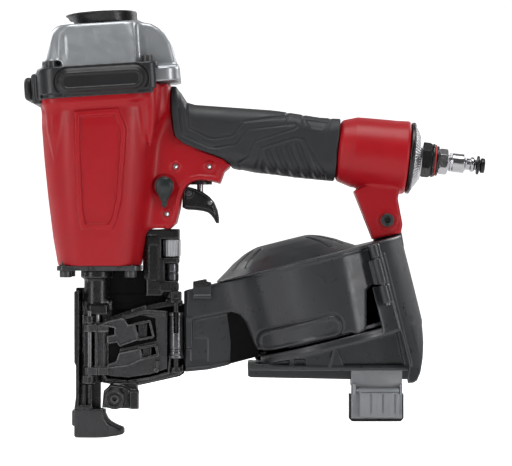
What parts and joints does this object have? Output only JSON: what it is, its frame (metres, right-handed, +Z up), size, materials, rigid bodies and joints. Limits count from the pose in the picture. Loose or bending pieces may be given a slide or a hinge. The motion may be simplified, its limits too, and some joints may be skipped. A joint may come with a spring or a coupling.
{
  "type": "pneumatic nail gun",
  "caption": "Coil-fed pneumatic nail gun with a red cast housing, rubber grip, hinged round magazine, hinged feed door, spring-loaded contact foot and adjustable shingle guide.",
  "frame": {"origin": "on the driver's axis, at the bottom face of the contact foot", "axes": "+Z up along the driver's axis, +X to the rear towards the handle and air inlet, +Y to the side away from the feed door"},
  "size_m": [0.29, 0.112, 0.2681],
  "materials": {
    "red_paint": "semi-gloss paint on a cast magnesium housing",
    "grip_rubber": "soft moulded rubber, matt",
    "black_rubber": "matt rubber",
    "steel": "machined",
    "black_steel": "black oxide, satin",
    "cast_aluminium": "fine cast and tumbled",
    "guard_grey": "moulded, satin",
    "nose_steel": "dark hardened steel",
    "door_steel": "grey coated steel",
    "black_plastic": "moulded, satin",
    "seal_red": "smooth",
    "chrome_plate": "bright plated",
    "magazine_grey": "fine textured paint",
    "valve_plastic": "moulded acetal",
    "knob_plastic": "moulded, satin",
    "wheel_grey": "knurled, satin",
    "tray_plastic": "moulded, matt",
    "guide_grey": "moulded, satin"
  },
  "bodies": {
    "housing": {"body_housing": "red_paint", "handle_grip": "grip_rubber", "cylinder_sleeve": "steel", "sleeve_seals": "black_rubber", "piston_bumper": "black_rubber", "cap_gasket": "black_rubber", "top_cap": "cast_aluminium", "cap_bolts": "black_steel", "deflector_bolt": "black_steel", "guard_band": "guard_grey", "side_pads": "black_rubber", "front_pad": "black_rubber", "nose_plate": "black_steel", "nose_bolts": "black_steel", "nose_housing": "nose_steel", "feed_cylinder": "black_steel", "door_hinge_pin": "steel", "latch_post": "black_steel", "guide_bracket": "black_steel", "trigger_valve_body": "black_plastic", "trigger_pin": "steel", "roll_pins": "steel", "leg_screw": "black_steel", "leg_nut": "steel", "end_cap": "black_plastic", "end_cap_ring": "chrome_plate", "inlet_filter": "steel", "reducer_bushing": "black_steel", "sealing_washer": "seal_red", "air_plug": "chrome_plate", "magazine_housing": "magazine_grey", "magazine_roof": "magazine_grey", "magazine_base": "magazine_grey", "magazine_hinge_pin": "steel", "head_valve_spring": "steel", "valve_spring": "steel", "contact_spring": "steel", "feed_spring": "steel"},
    "exhaust_deflector": {"exhaust_deflector": "black_plastic"},
    "head_valve": {"head_valve": "valve_plastic"},
    "piston": {"piston": "cast_aluminium", "piston_ring": "black_rubber", "driver_blade": "steel"},
    "trigger": {"trigger": "black_plastic"},
    "trigger_lever": {"trigger_lever": "steel"},
    "valve_stem": {"valve_stem": "steel"},
    "mode_selector": {"mode_selector": "knob_plastic"},
    "contact_element": {"contact_foot": "door_steel", "contact_arm": "nose_steel"},
    "depth_wheel": {"depth_wheel": "wheel_grey"},
    "feed_door": {"feed_door": "door_steel"},
    "door_latch": {"door_latch": "door_steel"},
    "feed_piston": {"feed_piston": "steel"},
    "magazine_cover": {"magazine_cover": "magazine_grey"},
    "cover_latch": {"cover_latch": "black_plastic"},
    "nail_tray": {"nail_tray": "tray_plastic"},
    "shingle_guide": {"shingle_guide": "guide_grey", "guide_shoe": "black_plastic"},
    "guide_lever": {"guide_lever": "guide_grey"},
    "dust_cap": {"dust_cap": "black_plastic"}
  },
  "joints": [
    {"name": "deflector_turn", "type": "hinge", "parent": "housing", "child": "exhaust_deflector", "pos_m": [0.00432, 0, 0.25974], "axis": [-0.061, 0, 0.9981], "continuous": true},
    {"name": "head_valve_lift", "type": "slide", "parent": "housing", "child": "head_valve", "axis": [0, 0, 1], "range_m": [0, 0.004], "stiffness_N_per_m": 800, "springref_m": -0.004, "deforming": ["head_valve_spring"]},
    {"name": "drive_stroke", "type": "slide", "parent": "housing", "child": "piston", "axis": [0, 0, -1], "range_m": [0, 0.062]},
    {"name": "trigger_pull", "type": "hinge", "parent": "housing", "child": "trigger", "pos_m": [0.058, 0, 0.1535], "axis": [0, -1, 0], "range_deg": [0, 12], "stiffness_Nm_per_rad": 0.05, "springref_deg": -17.19},
    {"name": "lever_tilt", "type": "hinge", "parent": "trigger", "child": "trigger_lever", "pos_m": [0.0713, 0, 0.1473], "axis": [0, 1, 0], "range_deg": [0, 8]},
    {"name": "valve_press", "type": "slide", "parent": "housing", "child": "valve_stem", "axis": [0, 0, 1], "range_m": [0, 0.0025], "deforming": ["valve_spring"]},
    {"name": "selector_turn", "type": "hinge", "parent": "housing", "child": "mode_selector", "pos_m": [0.043, 0, 0.158], "axis": [0, -1, 0], "range_deg": [0, 90]},
    {"name": "contact_press", "type": "slide", "parent": "housing", "child": "contact_element", "axis": [0, 0, 1], "range_m": [0, 0.01], "stiffness_N_per_m": 400, "springref_m": -0.012, "deforming": ["contact_spring"]},
    {"name": "wheel_turn", "type": "hinge", "parent": "housing", "child": "depth_wheel", "pos_m": [0.0472, 0, 0.119], "axis": [0, 0, 1], "range_deg": [-360, 360]},
    {"name": "door_open", "type": "hinge", "parent": "housing", "child": "feed_door", "pos_m": [-0.004, -0.0085, 0.057], "axis": [0, 0, -1], "range_deg": [0, 100]},
    {"name": "latch_lift", "type": "slide", "parent": "housing", "child": "door_latch", "axis": [0, 0, 1], "range_m": [0, 0.005], "stiffness_N_per_m": 300, "springref_m": -0.004},
    {"name": "feed_stroke", "type": "slide", "parent": "housing", "child": "feed_piston", "axis": [1, 0, 0], "range_m": [0, 0.012], "stiffness_N_per_m": 200, "springref_m": -0.006, "deforming": ["feed_spring"]},
    {"name": "cover_open", "type": "hinge", "parent": "housing", "child": "magazine_cover", "pos_m": [0.17634, -0.0435, 0.10467], "axis": [-0.2419, 0, 0.9703], "range_deg": [0, 100]},
    {"name": "latch_flip", "type": "hinge", "parent": "magazine_cover", "child": "cover_latch", "pos_m": [0.0665, -0.011, 0.0885], "axis": [1, 0, 0], "range_deg": [0, 30]},
    {"name": "tray_height", "type": "slide", "parent": "housing", "child": "nail_tray", "axis": [-0.2419, 0, 0.9703], "range_m": [0, 0.018]},
    {"name": "guide_slide", "type": "slide", "parent": "housing", "child": "shingle_guide", "axis": [-1, 0, 0], "range_m": [0, 0.06]},
    {"name": "guide_release", "type": "hinge", "parent": "shingle_guide", "child": "guide_lever", "pos_m": [0.1775, -0.00705, 0.03], "axis": [-1, 0, 0], "range_deg": [0, 12], "stiffness_Nm_per_rad": 0.02, "springref_deg": -17.19},
    {"name": "dust_cap_pull", "type": "slide", "parent": "housing", "child": "dust_cap", "axis": [0.9945, 0, -0.1045], "range_m": [0, 0.02]}
  ],
  "couplings": [
    {"joint": "valve_press", "follows": "trigger_pull", "m_per_rad": 0.0119}
  ]
}
